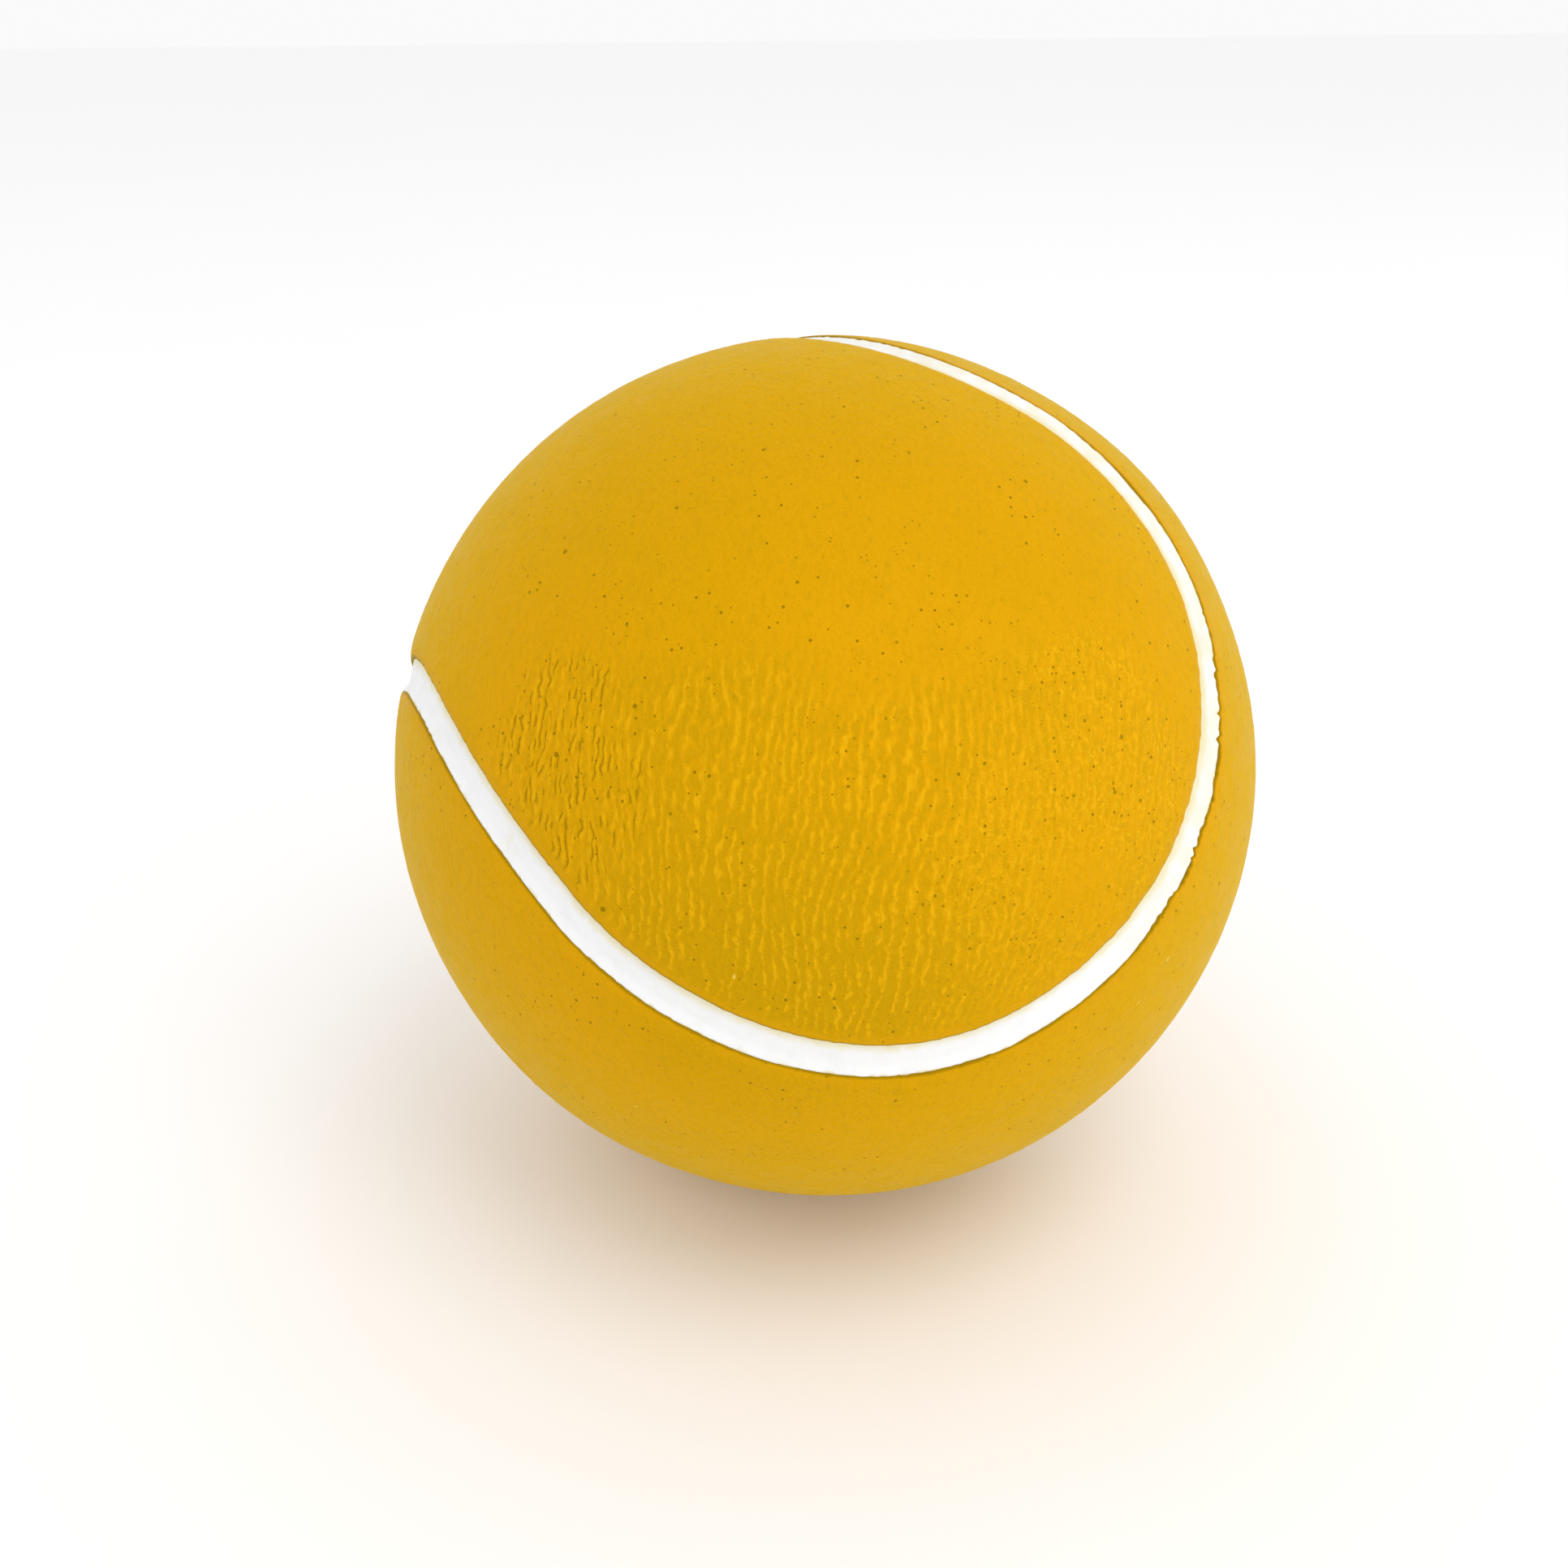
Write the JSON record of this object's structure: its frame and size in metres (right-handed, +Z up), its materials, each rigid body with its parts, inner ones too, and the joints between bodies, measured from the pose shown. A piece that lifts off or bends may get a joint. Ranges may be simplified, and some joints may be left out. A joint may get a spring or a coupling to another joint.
{
  "type": "stress ball",
  "caption": "Soft foam stress ball styled as a tennis ball, two interlocked amber panels parted by a white line in a groove, with a sprung squeeze.",
  "frame": {"origin": "centre of the ball", "axes": "+Z up, the direction in which the ball is squeezed; -Y faces the viewer, who looks down at it by 25 degrees; +X to the viewer's right"},
  "size_m": [0.063, 0.063, 0.063],
  "materials": {
    "foam": "open-celled soft polyurethane foam, matt",
    "skin": "dense polyurethane integral skin, matt",
    "panel_coat": "flexible amber coat, finely wrinkled, satin to matt",
    "white_line": "flexible white paint, matt, slightly grainy"
  },
  "bodies": {
    "ball": {"foam_core_lower": "foam", "moulded_skin": "skin", "front_panel_coat": "panel_coat", "back_panel_coat": "panel_coat", "seam_line": "white_line"},
    "pressed_half": {"foam_core_upper": "foam"}
  },
  "joints": [
    {"name": "squeeze", "type": "slide", "parent": "ball", "child": "pressed_half", "axis": [0, 0, -1], "range_m": [0, 0.025], "stiffness_N_per_m": 1500, "deforming": ["foam_core_lower", "foam_core_upper", "moulded_skin", "front_panel_coat", "back_panel_coat", "seam_line"]}
  ]
}
